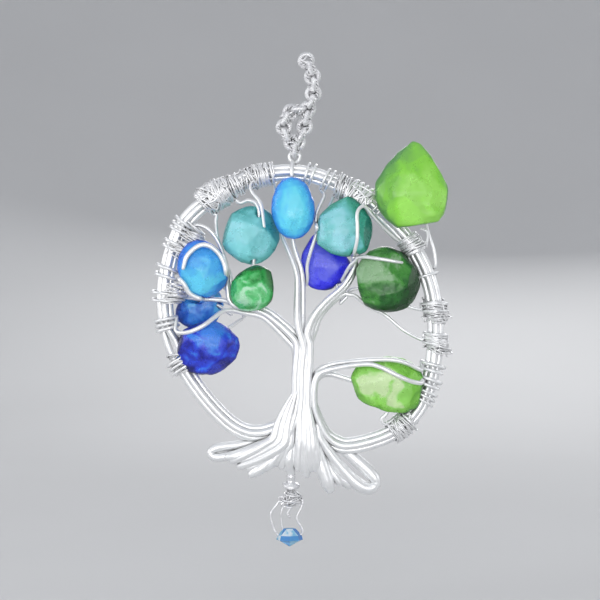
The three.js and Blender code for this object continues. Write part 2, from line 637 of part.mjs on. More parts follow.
function treeMeshes() {
  const wires = {};
  Object.entries({ ...WIRES, ...HANGER }).forEach(([name, sections]) => {
    wires[name] = sampled(name, sections);
  });
  const glassList = Object.entries(NUGGETS).map(([name, spec]) => (
    { spec, inverse: placeOf(spec).invert(), threaded: new Set(THREADED[name]) }));
  keepApart(wires, glassList);
  Object.keys(wires).forEach((name) => {
    wires[name] = thinned(wires[name]);
  });
  const meshes = Object.entries(wires).map(([name, points]) => (
    meshOf(name, tube(points.map((s) => s.p), points.map((s) => s.r), SIDES), silver)));
  Object.entries(NUGGETS).forEach(([name, spec], k) => {
    const shape = bored(nuggetGeometry(spec, k + 1), Object.values(wires), nearNugget(spec));
    meshes.push(meshOf(name, shape, glass(name, spec.color)));
  });
  return meshes;
}

// ---------- chain ----------

// Two sides of the loop run from the link in the eye to the link under the tail.
const EYE_LINK = [-1.8, 56.48];
const TOP_OF_LOOP = [2.8, 70.5];
const LEFT_SIDE = [[-2.75, 58.95], [-4.7, 61.35], [-5.45, 64.3], [-5, 67.2], [-3.1, 69.5], [-0.25, 70.5]];
const RIGHT_SIDE = [[-0.85, 58.95], [0.78, 61.6], [1.7, 64.45], [2.4, 67.45]];
const TAIL = [[4.1, 73.2], [4.8, 76.1], [4.9, 79.1], [4.5, 82.1], [3.6, 85], [2.3, 87.7]];

// A ring link seen face on, then turned about its own upright.
function link([x, z], turn, y = 0) {
  const ring = bare(new THREE.TorusGeometry(LINK_R, LINK_WIRE, 5, 12));
  ring.rotateX(Math.PI / 2);
  ring.rotateZ(THREE.MathUtils.degToRad(turn));
  ring.translate(x, y, z);
  return ring;
}

// A link lying along the chain from one neighbour to the next, face on or edge on.
function linkBetween(before, at, after, edgeOn, y = 0) {
  const ring = bare(new THREE.TorusGeometry(LINK_R, LINK_WIRE, 5, 12));
  const along = new THREE.Vector3(after[0] - before[0], 0, after[1] - before[1]).normalize();
  const side = edgeOn ? new THREE.Vector3(0, 1, 0) : new THREE.Vector3(along.z, 0, -along.x);
  const out = new THREE.Vector3().crossVectors(along, side);
  ring.applyMatrix4(new THREE.Matrix4().makeBasis(along, side, out).setPosition(at[0], y, at[1]));
  return ring;
}

function chainMeshes() {
  const meshes = [meshOf('loop_link_at_eye', link(EYE_LINK, 90), bright)];
  const lay = (prefix, line, before, after) => {
    line.forEach((at, k) => {
      const back = line[k - 1] ?? before;
      const ahead = line[k + 1] ?? after;
      const y = (prefix === 'loop_link_left' ? -1 : 1) * ([0.62, 0.46][k] ?? 0);
      meshes.push(meshOf(`${prefix}_${k + 1}`, linkBetween(back, at, ahead, k % 2 === 1, y), bright));
    });
  };
  lay('loop_link_left', LEFT_SIDE, EYE_LINK, TOP_OF_LOOP);
  lay('loop_link_right', RIGHT_SIDE, EYE_LINK, TOP_OF_LOOP);
  meshes.push(meshOf('loop_link_top', link(TOP_OF_LOOP, 0), bright));
  TAIL.forEach((at, k) => {
    const back = TAIL[k - 1] ?? TOP_OF_LOOP;
    const ahead = TAIL[k + 1] ?? at;
    meshes.push(meshOf(`tail_link_${k + 1}`, linkBetween(back, at, ahead, k % 2 === 0), bright));
  });
  return meshes;
}

// ---------- the drop under the roots ----------

function drop() {
  const ring = bare(new THREE.TorusGeometry(1.25, 0.4, 5, 12));
  ring.rotateY(Math.PI / 2);
  ring.translate(DROP_X, 0, -57.63);

  const stem = sampled('drop_stem', [
    eye([DROP_X, -59.02], 1.0, 250, -60, -0.35, 0, DROP_WIRE),
    free([DROP_X - 0.1, -60.5, 0], [DROP_X, -62, 0], [DROP_X, -66, 0], [-3.3, -69.6, 0], [-4.2, -71.8, 0], [-3.4, -72.7, 0]),
  ]);

  const bow = new THREE.Shape();
  bow.moveTo(0.85, -1);
  bow.lineTo(2.3, -1.05);
  bow.lineTo(3.1, -0.5);
  bow.lineTo(3.3, 0);
  bow.lineTo(3.1, 0.5);
  bow.lineTo(2.3, 1.05);
  bow.lineTo(0.85, 1);
  bow.closePath();
  const outline = bow.getPoints();
  const disc = bare(new THREE.LatheGeometry(outline, 14));
  disc.rotateX(Math.PI / 2);
  disc.translate(DROP_X, 0, -61.9);

  const nest = [];
  for (let k = 0; k <= 36; k += 1) {
    const turn = (k / 36) * 2.75;
    const wide = 1.05 + 2.35 * Math.min(1, turn / 0.9);
    const angle = 2 * Math.PI * turn;
    nest.push([DROP_X + wide * Math.cos(angle), -63.6 - 2 * turn, wide * Math.sin(angle), DROP_WIRE]);
  }
  const bail = sampled('drop_bail', [
    eye([-6.4, -66.6], 0.95, -120, 220, -0.4, 0.35, DROP_WIRE),
    free([-8.3, -68.6, 0], [-10.2, -72, 0], [-9.4, -75, 0], [-8.5, -78, 0], [-6.6, -79.8, 0], [-3.4, -80.2, 0],
      [-0.6, -79.8, 0], [1.1, -78, 0], [0.2, -75.4, 0], [-0.9, -73.2, 0], [0.2, -70.4, 0]),
    eye([0.4, -67.6], 0.95, -60, -400, 0.35, -0.4, DROP_WIRE),
  ]);
  const gem = [];
  [[8, 4.7, -80.8], [8, 4.3, -79.2], [6, 2.1, -76.9], [1, 0, -83.3]].forEach(([count, wide, z]) => {
    for (let k = 0; k < count; k += 1) {
      const angle = (2 * Math.PI * k) / count;
      gem.push(new THREE.Vector3(-3.5 + wide * Math.cos(angle), 0.72 * wide * Math.sin(angle), z));
    }
  });
  const wire = (points, sides) => tube(points.map((s) => s.p), points.map((s) => s.r), sides);
  const shortBail = thinned(bail);
  return [
    meshOf('drop_ring', ring, silver),
    meshOf('drop_stem', wire(thinned(stem), 5), silver),
    meshOf('drop_bow', disc, silver),
    meshOf('drop_nest', wire(thinned(sampled('drop_nest', [{ points: nest, fixed: true }])), 5), silver),
    meshOf('drop_bail', wire(shortBail, 5), silver),
    meshOf('drop_crystal', bored(bare(new ConvexGeometry(gem)), [shortBail], (p) => p.z < -77), crystal),
  ];
}

// ---------- the whole piece ----------

const group = new THREE.Group();
group.name = 'wire_tree_of_life';
const hookAt = TAIL.at(-1);
[...treeMeshes(), ...chainMeshes(), ...drop()].forEach((mesh) => {
  mesh.geometry.translate(-hookAt[0], 0, -(hookAt[1] + LINK_R - LINK_WIRE));
  group.add(mesh);
});

export default group;
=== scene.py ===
import json
import math

import bmesh
import bpy
import numpy as np
from mathutils import Matrix, Vector, noise


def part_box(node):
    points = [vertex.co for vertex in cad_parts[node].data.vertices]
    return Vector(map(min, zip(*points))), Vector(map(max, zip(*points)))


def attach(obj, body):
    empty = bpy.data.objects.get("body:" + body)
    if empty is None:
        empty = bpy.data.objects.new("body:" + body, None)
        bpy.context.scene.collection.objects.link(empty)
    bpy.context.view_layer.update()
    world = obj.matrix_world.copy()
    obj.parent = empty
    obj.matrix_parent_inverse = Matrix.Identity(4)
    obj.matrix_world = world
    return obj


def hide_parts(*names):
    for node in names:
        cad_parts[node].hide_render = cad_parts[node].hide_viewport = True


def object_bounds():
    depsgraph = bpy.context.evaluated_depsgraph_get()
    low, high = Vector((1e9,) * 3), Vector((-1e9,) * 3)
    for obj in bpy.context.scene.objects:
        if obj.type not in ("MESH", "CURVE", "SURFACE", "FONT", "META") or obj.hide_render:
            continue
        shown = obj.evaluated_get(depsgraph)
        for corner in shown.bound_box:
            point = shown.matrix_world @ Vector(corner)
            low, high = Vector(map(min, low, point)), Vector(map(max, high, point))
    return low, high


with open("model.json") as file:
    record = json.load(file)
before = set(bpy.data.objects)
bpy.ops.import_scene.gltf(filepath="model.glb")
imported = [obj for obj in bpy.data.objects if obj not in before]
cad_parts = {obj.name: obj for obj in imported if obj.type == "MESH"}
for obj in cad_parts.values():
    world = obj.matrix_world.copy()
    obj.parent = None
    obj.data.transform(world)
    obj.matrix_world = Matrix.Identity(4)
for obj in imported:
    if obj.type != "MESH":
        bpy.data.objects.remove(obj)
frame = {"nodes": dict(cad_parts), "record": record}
CAD_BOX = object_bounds()

MM = 0.001
Y_AXIS = np.array([0.0, 1.0, 0.0])
rng = np.random.default_rng(11)

TUBE_STEP = 0.45 * MM  # spacing of the rings along a wire
TUBE_SIDES = 12
FINE_SIDES = 7
CAD_SIDES = 5  # corners in each ring of a CAD wire
WELD = 2e-6  # corners nearer than this are one
SAME_PLANE = 0.99999  # cosine of the angle between two faces of one flat end
DOME = (0.45, 0.8, 0.97)  # where the rings of a rounded end lie, as shares of the radius
VOXEL = 0.42 * MM  # the grid a nugget is rebuilt on

NODES = sorted(frame["nodes"])
BODIES = frame["record"]["behaviour"]["bodies"]
BODY_OF = {n: body for body, members in BODIES.items() for n in members}
GLASS = [n for n in NODES if n.startswith("glass_")]
LINKS = [n for n in NODES if "_link_" in n]
HOOP_WIRES = ["hoop_wire_outer", "hoop_wire_front", "hoop_wire_inner"]
ROOT_WIRES = [n for n in NODES if n.startswith("root_")]
TIE_WIRES = [n for n in NODES if n.startswith("tie_wire_")]


# ---------- reading the wires ----------

def welded(node):
    """The CAD node's faces with their corners joined."""
    bm = bmesh.new()
    bm.from_mesh(frame["nodes"][node].data)
    bmesh.ops.remove_doubles(bm, verts=bm.verts, dist=WELD)
    bm.faces.ensure_lookup_table()
    return bm


def flat_ends(bm):
    """Corner sets of the flat five-sided ends of a wire."""
    seen, ends = set(), []
    for face in bm.faces:
        if face.index in seen:
            continue
        seen.add(face.index)
        group, waiting = [face], [face]
        while waiting:
            here = waiting.pop()
            for other in (f for e in here.edges for f in e.link_faces):
                if other.index not in seen and other.normal.dot(face.normal) > SAME_PLANE:
                    seen.add(other.index)
                    group.append(other)
                    waiting.append(other)
        corners = {v for f in group for v in f.verts}
        if len(group) == CAD_SIDES - 2 and len(corners) == CAD_SIDES:
            ends.append(corners)
    return ends


def rings_from(end):
    """The wire's rings of corners, from one end to the other."""
    done, rings = set(end), [list(end)]
    while True:
        after = {e.other_vert(v) for v in rings[-1] for e in v.link_edges} - done
        if not after:
            return rings
        rings.append(list(after))
        done |= after


def centreline(node):
    """Middle points and radii of a CAD wire, lowest end first."""
    bm = welded(node)
    for end in flat_ends(bm):
        rings = rings_from(end)
        if all(len(ring) == CAD_SIDES for ring in rings):
            break
    corners = np.array([[v.co[:] for v in ring] for ring in rings])
    bm.free()
    middle = corners.mean(axis=1)
    radii = np.linalg.norm(corners - middle[:, None], axis=2).mean(axis=1)
    if middle[0, 2] > middle[-1, 2]:
        middle, radii = middle[::-1], radii[::-1]
    return middle, radii


def ring_shape(node):
    """Centre, normal and radius of a CAD node that is a closed round ring."""
    co = np.array([v.co[:] for v in frame["nodes"][node].data.vertices])
    centre = (co.min(axis=0) + co.max(axis=0)) / 2
    normal = np.linalg.svd(co - co.mean(axis=0), full_matrices=False)[2][2]
    flat = (co - centre) - np.outer((co - centre) @ normal, normal)
    reach = np.linalg.norm(flat, axis=1)
    return centre, normal, (reach.min() + reach.max()) / 2


# ---------- making tubes ----------

def smoothed(points, radii, step=TUBE_STEP):
    """A centripetal curve through the points with rings a step apart."""
    points = np.asarray(points, float)
    line = np.vstack([2 * points[0] - points[1], points, 2 * points[-1] - points[-2]])
    out, out_r = [], []
    for k in range(len(points) - 1):
        a, b, c, d = line[k:k + 4]
        gaps = [max(np.linalg.norm(q - p), 1e-9) ** 0.5 for p, q in ((a, b), (b, c), (c, d))]
        ta, tb, tc, td = np.cumsum([0.0] + gaps)
        count = max(1, int(round(gaps[1] ** 2 / step)))
        u = np.arange(count)[:, None] / count
        t = tb + (tc - tb) * u
        ab = (a * (tb - t) + b * (t - ta)) / (tb - ta)
        bc = (b * (tc - t) + c * (t - tb)) / (tc - tb)
        cd = (c * (td - t) + d * (t - tc)) / (td - tc)
        abc = (ab * (tc - t) + bc * (t - ta)) / (tc - ta)
        bcd = (bc * (td - t) + cd * (t - tb)) / (td - tb)
        out.append((abc * (tc - t) + bcd * (t - tb)) / (tc - tb))
        out_r.append(radii[k] + (radii[k + 1] - radii[k]) * u[:, 0])
    return np.vstack(out + [points[-1:]]), np.concatenate(out_r + [radii[-1:]])


def turned(vector, start, end):
    """The vector carried round the smallest turn from one direction to the next."""
    axis = np.cross(start, end)
    size = np.linalg.norm(axis)
    if size < 1e-9:
        return vector
    turn = Matrix.Rotation(math.atan2(size, float(start @ end)), 3, Vector(axis / size))
    return np.array(turn @ Vector(vector))


def rounded_ends(points, radii, tangents):
    """Adds the small rings that close a tube as two domes."""
    lead = [points[0] - tangents[0] * radii[0] * s for s in reversed(DOME)]
    tail = [points[-1] + tangents[-1] * radii[-1] * s for s in DOME]
    lead_radii = [radii[0] * math.sqrt(1 - s * s) for s in reversed(DOME)]
    tail_radii = [radii[-1] * math.sqrt(1 - s * s) for s in DOME]
    return np.vstack([lead, points, tail]), np.concatenate([lead_radii, radii, tail_radii])


def tube(points, radii, sides=TUBE_SIDES, closed=False):
    """Corners and faces of a round wire along the points."""
    if closed:
        tangents = np.roll(points, -1, axis=0) - np.roll(points, 1, axis=0)
    else:
        tangents = np.gradient(points, axis=0)
    tangents /= np.linalg.norm(tangents, axis=1)[:, None]
    if not closed:
        points, radii = rounded_ends(points, radii, tangents)
        tangents = np.vstack([[tangents[0]] * len(DOME), tangents, [tangents[-1]] * len(DOME)])
    side = np.cross(tangents[0], Y_AXIS)
    if np.linalg.norm(side) < 0.1:
        side = np.cross(tangents[0], [1.0, 0.0, 0.0])
    side /= np.linalg.norm(side)
    angles = 2 * math.pi * np.arange(sides) / sides
    corners = []
    for k, point in enumerate(points):
        if k:
            side = turned(side, tangents[k - 1], tangents[k])
            side -= tangents[k] * (side @ tangents[k])
            side /= np.linalg.norm(side)
        up = np.cross(tangents[k], side)
        ring = np.outer(np.cos(angles), side) + np.outer(np.sin(angles), up)
        corners.append(point + radii[k] * ring)
    count = len(points)
    faces = []
    for k in range(count if closed else count - 1):
        after = (k + 1) % count
        for j in range(sides):
            nxt = (j + 1) % sides
            faces.append((k * sides + j, k * sides + nxt, after * sides + nxt, after * sides + j))
    if not closed:
        faces.append(tuple(reversed(range(sides))))
        faces.append(tuple((count - 1) * sides + j for j in range(sides)))
    return np.vstack(corners), faces


def piece(name, tubes, surface, body, slot, *nodes):
    """One mesh object from several tubes. It moves with the body and stands for the CAD nodes."""
    corners, faces, first = [], [], 0
    for tube_corners, tube_faces in tubes:
        corners.append(tube_corners)
        faces += [tuple(first + k for k in face) for face in tube_faces]
        first += len(tube_corners)
    mesh = bpy.data.meshes.new(name)
    mesh.from_pydata(np.vstack(corners).tolist(), [], faces)
    mesh.update()
    shown(name, mesh, surface, body, slot, *nodes)


def shown(name, mesh, surface, body, slot, *nodes):
    """An object for the mesh, smooth shaded, riding on its body."""
    obj = bpy.data.objects.new(name, mesh)
    bpy.context.scene.collection.objects.link(obj)
    mesh.materials.clear()
    mesh.materials.append(surface)
    mesh.polygons.foreach_set("use_smooth", [True] * len(mesh.polygons))
    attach(obj, body)
    if nodes:
        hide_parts(*nodes)
    return obj


# ---------- materials ----------

def material(name):
    """A new node material, its shader and a function that adds a linked node."""
    made = bpy.data.materials.new(name)
    made.use_nodes = True
    tree = made.node_tree
    shader = tree.nodes["Principled BSDF"]

    def add(kind, inputs=(), **settings):
        node = tree.nodes.new(kind)
        for key, value in settings.items():
            setattr(node, key, value)
        for key, value in dict(inputs).items():
            if isinstance(value, bpy.types.NodeSocket):
                tree.links.new(value, node.inputs[key])
            else:
                node.inputs[key].default_value = value
        return node

    def join(source, socket):
        tree.links.new(source, shader.inputs[socket])

    return made, shader, add, join


def ramp(add, source, stops):
    """A colour ramp fed by the source. A stop is a place and a colour."""
    node = add("ShaderNodeValToRGB", {"Fac": source})
    elements = node.color_ramp.elements
    while len(elements) < len(stops):
        elements.new(0.5)
    for element, (place, colour) in zip(elements, stops):
        element.position = place
        element.color = (*colour, 1) if len(colour) == 3 else colour
    return node.outputs["Color"]


def grey(value):
    return (value, value, value)


def noise_at(add, place, scale, detail, **more):
    """The output of a noise node at the place. More inputs are given by their lower-case names."""
    inputs = {"Vector": place, "Scale": scale, "Detail": detail}
    inputs.update({key.title(): value for key, value in more.items()})
    return add("ShaderNodeTexNoise", inputs).outputs["Fac"]


def maths(add, operation, *values):
    """The output of a maths node for the values."""
    return add("ShaderNodeMath", dict(enumerate(values)), operation=operation).outputs["Value"]


def bumped(add, join, height, strength, distance):
    """Gives the shader a bump from the height."""
    bump = add("ShaderNodeBump", {"Height": height, "Strength": strength, "Distance": distance})
    join(bump.outputs["Normal"], "Normal")


def wire_material(name, light, dark, rough, scale, groove):
    """Satin silver wire with small dents and duller patches, and painted shade: greyed where another wire
    lies within groove mm.
    """
    made, shader, add, join = material(name)
    place = add("ShaderNodeTexCoord").outputs["Object"]
    patches = noise_at(add, place, scale, 5.0, roughness=0.6)
    fine = noise_at(add, place, scale * 9, 3.0, roughness=0.7)
    silver = ramp(add, patches, [(0.3, dark), (0.62, light)])
    # Painted shade: ambient occlusion greys the base colour in the grooves between wires.
    ao_openness = add("ShaderNodeAmbientOcclusion", {"Distance": groove * MM}, samples=6).outputs["AO"]
    painted_groove_shade = ramp(add, ao_openness, [(0.1, grey(0.28)), (0.38, grey(0.74)), (0.66, grey(1.0))])
    both = {"Fac": 1.0, "Color1": silver, "Color2": painted_groove_shade}
    join(add("ShaderNodeMixRGB", both, blend_type="MULTIPLY").outputs["Color"], "Base Color")
    join(ramp(add, patches, [(0.35, grey(rough + 0.14)), (0.65, grey(rough))]), "Roughness")
    bumped(add, join, fine, 0.22, 0.08 * MM)
    shader.inputs["Metallic"].default_value = 0.7
    return made


def glass_material(name, tones, lit_way, sway, scale, see, offset):
    """Tumbled cloudy glass with painted light: deep on its shaded sides, paler where a face looks the lit
    way.
    """
    made, shader, add, join = material(name)
    places = add("ShaderNodeTexCoord").outputs
    mapping = add("ShaderNodeMapping", {"Vector": places["Object"], "Location": offset})
    moved = mapping.outputs["Vector"]
    zones = noise_at(add, moved, scale, 3.0, distortion=0.7)
    # Painted light: the colour is paler where a face turns the lit way and deeper on the shaded sides.
    toward_light = add("ShaderNodeVectorMath", {0: places["Normal"], 1: lit_way}, operation="DOT_PRODUCT")
    lit_share = maths(add, "ABSOLUTE", toward_light.outputs["Value"])
    swing = maths(add, "MULTIPLY", maths(add, "SUBTRACT", zones, 0.5), sway)
    level = maths(add, "ADD", lit_share, swing)
    join(ramp(add, level, list(zip(TONE_STOPS, tones))), "Base Color")
    frost = noise_at(add, moved, scale * 3.2, 5.0, roughness=0.6)
    join(ramp(add, frost, [(0.4, grey(0.24)), (0.66, grey(0.4))]), "Roughness")
    bumped(add, join, noise_at(add, moved, scale * 12, 2.0), 0.08, 0.06 * MM)
    shader.inputs["IOR"].default_value = 1.45
    shader.inputs["Transmission Weight"].default_value = see
    shader.inputs["Coat Weight"].default_value = 0.12
    shader.inputs["Coat Roughness"].default_value = 0.12
    return made


SILVER = wire_material("silver_wire_satin", (0.95, 0.955, 0.96), (0.84, 0.85, 0.86),
                       rough=0.32, scale=260, groove=1.8)
FINE = wire_material("fine_binding_wire", (0.92, 0.92, 0.925), (0.76, 0.765, 0.775),
                     rough=0.3, scale=420, groove=0.8)
CHAIN = wire_material("bright_chain_wire", (0.92, 0.92, 0.93), (0.66, 0.66, 0.68),
                      rough=0.26, scale=620, groove=0.8)

TONE_STOPS = (0.25, 0.6, 0.85, 1.0)  # where the four tones of a nugget lie, from its painted-shade sides to its painted-lit faces

# Each nugget's tones from its shaded sides to its lit faces (painted light), the way a face looks where it
# is painted palest, how cloudy it is, the scale of its zones, the share of light let through, the height
# of its lumps in mm and its facets.
NUGGETS = {
    "glass_azure": ([(0.03, 0.2, 0.86), (0.05, 0.38, 1.0), (0.08, 0.58, 1.0), (0.16, 0.82, 1.0)],
                    (0, -1, 0), 0.5, 70, 0.2, 0.3, 0),
    "glass_aqua": ([(0.04, 0.36, 0.38), (0.13, 0.56, 0.56), (0.27, 0.78, 0.82), (0.42, 0.9, 1.0)],
                   (-0.35, -0.9, -0.2), 0.7, 90, 0.25, 0.35, 2),
    "glass_sky": ([(0.02, 0.12, 0.72), (0.04, 0.27, 0.95), (0.07, 0.46, 1.0), (0.14, 0.72, 1.0)],
                  (0.1, -0.98, -0.15), 0.7, 80, 0.2, 0.35, 3),
    "glass_green": ([(0.006, 0.13, 0.02), (0.02, 0.4, 0.07), (0.12, 0.66, 0.22), (0.5, 0.9, 0.6)],
                    (-0.2, -0.9, -0.4), 1.6, 170, 0.2, 0.8, 7),
    "glass_mid_blue": ([(0.008, 0.04, 0.3), (0.025, 0.14, 0.7), (0.06, 0.34, 0.92), (0.15, 0.6, 1.0)],
                       (0.5, -0.85, 0.2), 1.2, 120, 0.2, 0.6, 5),
    "glass_royal": ([(0.004, 0.01, 0.16), (0.02, 0.03, 0.5), (0.03, 0.08, 0.85), (0.06, 0.3, 1.0)],
                    (0.3, -0.9, 0.3), 1.7, 160, 0.3, 0.6, 6),
    "glass_teal": ([(0.01, 0.22, 0.15), (0.05, 0.44, 0.3), (0.22, 0.7, 0.72), (0.42, 0.85, 0.96)],
                   (-0.5, -0.85, -0.1), 0.8, 95, 0.25, 0.35, 3),
    "glass_ultramarine": ([(0.004, 0.006, 0.3), (0.02, 0.02, 0.8), (0.05, 0.05, 1.0), (0.14, 0.16, 1.0)],
                          (-0.2, -0.95, 0.1), 1.0, 110, 0.2, 0.5, 4),
    "glass_lime_pear": ([(0.12, 0.36, 0.1), (0.2, 0.54, 0.09), (0.29, 0.76, 0.07), (0.4, 0.88, 0.14)],
                        (0.25, -0.95, -0.1), 1.4, 70, 0.25, 0.35, 4),
    "glass_dark_green": ([(0.006, 0.06, 0.01), (0.02, 0.15, 0.024), (0.07, 0.32, 0.05), (0.28, 0.5, 0.26)],
                         (-0.5, -0.8, 0.3), 1.7, 120, 0.2, 0.45, 4),
    "glass_lime_drop": ([(0.1, 0.4, 0.04), (0.24, 0.66, 0.07), (0.36, 0.82, 0.16), (0.72, 0.95, 0.5)],
                        (-0.2, -0.95, 0.1), 1.4, 120, 0.25, 0.5, 6),
}


# ---------- the glass ----------

GROWN = (1.03, 1.0, 1.03)  # how much larger a nugget is shown along each axis
PEAR_GROWN = (1.11, 1.0, 1.04)
PEAR_TAPER = 0.3  # how much narrower the pear-shaped nugget gets towards its top
DROP_END = 5 * MM  # the stretch at the lime drop's left end that is made blunt
LUMP_SCALE = 150
PIT_SCALE = 520
FACET_DEPTH = 0.7  # how far the glass beyond a facet's plane is pressed back


def lump(p, scale, seed):
    """Smooth noise from 0 to 1 at a place in metres."""
    q = Vector(p) * scale + Vector((seed * 3.7, seed * 1.3, -seed * 2.1))
    return 0.5 + 0.5 * noise.fractal(q, 0.9, 2.1, 3)


def rebuilt(node):
    """The CAD nugget, bore and all, as an even fine mesh."""
    bm = welded(node)
    mesh = bpy.data.meshes.new("rough")
    bm.to_mesh(mesh)
    bm.free()
    rough = bpy.data.objects.new("rough", mesh)
    bpy.context.scene.collection.objects.link(rough)
    grid = rough.modifiers.new("grid", "REMESH")
    grid.mode = "VOXEL"
    grid.voxel_size = VOXEL
    fair = rough.modifiers.new("fair", "SMOOTH")
    fair.factor = 0.5
    fair.iterations = 8
    graph = bpy.context.evaluated_depsgraph_get()
    done = bpy.data.meshes.new_from_object(rough.evaluated_get(graph))
    bpy.data.objects.remove(rough)
    return done


def nugget(node, index):
    """The nugget with lumps, flat facets and its own glass."""
    tones, lit_way, sway, scale, see, height, facets = NUGGETS[node]
    mesh = rebuilt(node)
    low, high = (np.array(c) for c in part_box(node))
    middle = (low + high) / 2
    co = np.empty(len(mesh.vertices) * 3)
    mesh.vertices.foreach_get("co", co)
    co = co.reshape(-1, 3)
    normals = np.array([v.normal[:] for v in mesh.vertices])
    lumps = np.array([lump(p, LUMP_SCALE, index) for p in co])
    pits = np.array([lump(p, PIT_SCALE, index + 5) for p in co])
    co -= normals * ((lumps ** 2 * 1.2 + 0.2 * pits) * height * MM)[:, None]
    pick = np.random.default_rng(100 + index)
    for _ in range(facets):
        way = pick.normal(size=3) * (1, 1, 0.45)
        way[1] = -abs(way[1]) if pick.random() < 0.7 else way[1]
        way /= np.linalg.norm(way)
        reach = (co - middle) @ way
        limit = np.quantile(reach, 1 - pick.uniform(0.03, 0.07))
        co -= np.outer(np.maximum(reach - limit, 0) * FACET_DEPTH, way)
    made_low, made_high = co.min(axis=0), co.max(axis=0)
    co = low + (co - made_low) * (high - low) / (made_high - made_low)
    if node == "glass_lime_pear":
        rise = np.clip((co[:, 2] - middle[2]) / (high[2] - middle[2]), 0, 1)
        co[:, 0] = middle[0] + (co[:, 0] - middle[0]) * (1 - PEAR_TAPER * rise)
        co = middle + (co - middle) * PEAR_GROWN
    else:
        co = middle + (co - middle) * GROWN
    if node == "glass_lime_drop":
        blunt = low[0] + DROP_END
        co[:, 0] = np.where(co[:, 0] < blunt, blunt + (co[:, 0] - blunt) * 0.5, co[:, 0])
    mesh.vertices.foreach_set("co", co.ravel())
    mesh.update()
    offset = (0.013 * index, -0.007 * index, 0.003 * index)
    glass = glass_material(node + "_cloudy_painted_light", tones, lit_way, sway, scale, see, offset)
    shown(node.replace("glass", "nugget"), mesh, glass, BODY_OF[node], node, node)


# ---------- the wires of the tree ----------

HOOP_WIDTH = 1.28  # how many times its CAD width a hoop wire is shown
PAIR_WIDTH = 1.75  # the radius of a paired root behind its tip, in mm

# The share of a root's full swelling at each distance from its tip in mm.
SWELL_GAPS = (0, 1.2, 3, 7, 14, 30, 60, 75)
SWELL = (0.5, 0.75, 0.93, 1, 0.85, 0.35, 0.25, 0)

# A root strand's share of its full width at places from the trunk to its tip.
LEAF_PLACES = (0, 0.15, 0.45, 0.75, 0.95, 1)
LEAF_SHAPE = (0.12, 0.4, 0.85, 1.0, 0.97, 0.82)

# How many times its plain width a root wire is behind its tip.
ROOT_WIDTH = {
    "root_wire_left_hairpin": 1.6, "root_wire_front_left": 2.1, "root_wire_middle": 1.2,
    "root_wire_front_right": 2.6, "root_wire_back_right": 2.3, "root_wire_right_hairpin": 2.3,
}

LINES = {n: centreline(n) for n in HOOP_WIRES + ROOT_WIRES + TIE_WIRES + ["hanger_eye"]}


def run_along(points):
    """Distance along the points from the first one."""
    return np.concatenate([[0], np.cumsum(np.linalg.norm(np.diff(points, axis=0), axis=1))])


def swollen(points, radii, tip, full):
    """Radii of a root: a blunt tip, a fuller leaf-shaped stretch behind it, then the plain wire."""
    run = run_along(points)
    gap = np.abs(run - run[tip]) / MM
    return radii * (1 + (full - 1) * np.interp(gap, SWELL_GAPS, SWELL))


def root_tip(node, points):
    """The place in the points where this wire has its root tip."""
    if node.endswith("hairpin"):
        below = points[:, 2] < ROOTS_TOP
        side = -1 if "left" in node else 1
        return int(np.argmax(np.where(below, side * points[:, 0], -1)))
    return 0


def wire_piece(node):
    """A CAD wire as a smooth round one."""
    points, radii = smoothed(*LINES[node])
    if node in ROOT_WIDTH:
        radii = swollen(points, radii, root_tip(node, points), ROOT_WIDTH[node])
    if node in HOOP_WIRES:
        radii = radii * HOOP_WIDTH
    if node.startswith("root_pair"):
        tubes = [leaf(leg, PAIR_WIDTH) for leg in legs(node)]
    else:
        tubes = [tube(points, radii)]
    piece(node + "_round", tubes, SILVER, BODY_OF[node], "silver_wire", node)


OUTER_LOW, OUTER_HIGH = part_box("hoop_wire_outer")
HUB = (OUTER_LOW + OUTER_HIGH) / 2  # the middle of the hoop
HUB.x = (OUTER_LOW.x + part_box("hoop_wire_inner")[1].x) / 2
ROOTS_TOP = OUTER_LOW.z + 24 * MM  # where the trunk ends and the roots begin
TRUNK_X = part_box("root_wire_middle")[0].x + 5.5 * MM  # the middle of the trunk
LEG_POINTS = 30  # points along each root stretch
ROOT_MIDWAY = 22  # one of those points, well out on the root
TRUNK_POINTS = 24  # points along each trunk stretch
PAIR_BEND = 5 * MM  # how much of each side of a root pair's top bend is left out
MIDDLE_FORWARD = 3.2 * MM  # how far the middle root lies in front of its CAD wire


def legs(node):
    """The root stretches of a wire, each from the trunk to its tip, with evenly set points."""
    points, _ = smoothed(*LINES[node])
    if node.startswith("root_pair"):
        top = int(np.argmax(points[:, 2]))
        bend = int(PAIR_BEND / TUBE_STEP)
        parts = [from_trunk(points[top - bend::-1]), from_trunk(points[top + bend:])]
    else:
        tip = root_tip(node, points)
        crossing = tip + int(np.argmax(points[tip:, 2] > ROOTS_TOP))
        parts = [points[crossing:tip:-1]]
        if tip:
            parts.append(from_trunk(points[:tip + 1]))
    return [evenly(part, LEG_POINTS) for part in parts]


def from_trunk(part):
    """A root that starts below the trunk, led on up into it."""
    top = part[0]
    rise = np.array([1.0, 0.66, 0.33])[:, None]
    start = np.array([TRUNK_X + 0.3 * (top[0] - TRUNK_X), top[1] + 0.7 * MM, ROOTS_TOP - 2 * MM])
    lead = top + (start - top) * rise
    lead[:, 0] -= 0.12 * (start[0] - top[0]) * np.sin(rise[:, 0] * math.pi)
    line = np.vstack([lead, part[::6]])
    return smoothed(line, np.full(len(line), MM))[0]


def leaf(line, full):
    """A root strand that swells from the trunk towards its blunt tip."""
    radii = np.interp(np.linspace(0, 1, len(line)), LEAF_PLACES, LEAF_SHAPE) * full * MM
    return tube(*smoothed(line, radii))


def evenly(points, count):
    """The line again, with that many points at equal distances."""
    run = run_along(points)
    places = np.linspace(0, run[-1], count)
    return np.column_stack([np.interp(places, run, points[:, k]) for k in range(3)])


def spread(leg):
    """How far round to the right a root points, seen from the foot of the trunk."""
    x, _, z = leg[ROOT_MIDWAY]
    return math.atan2(x - TRUNK_X, ROOTS_TOP - z)


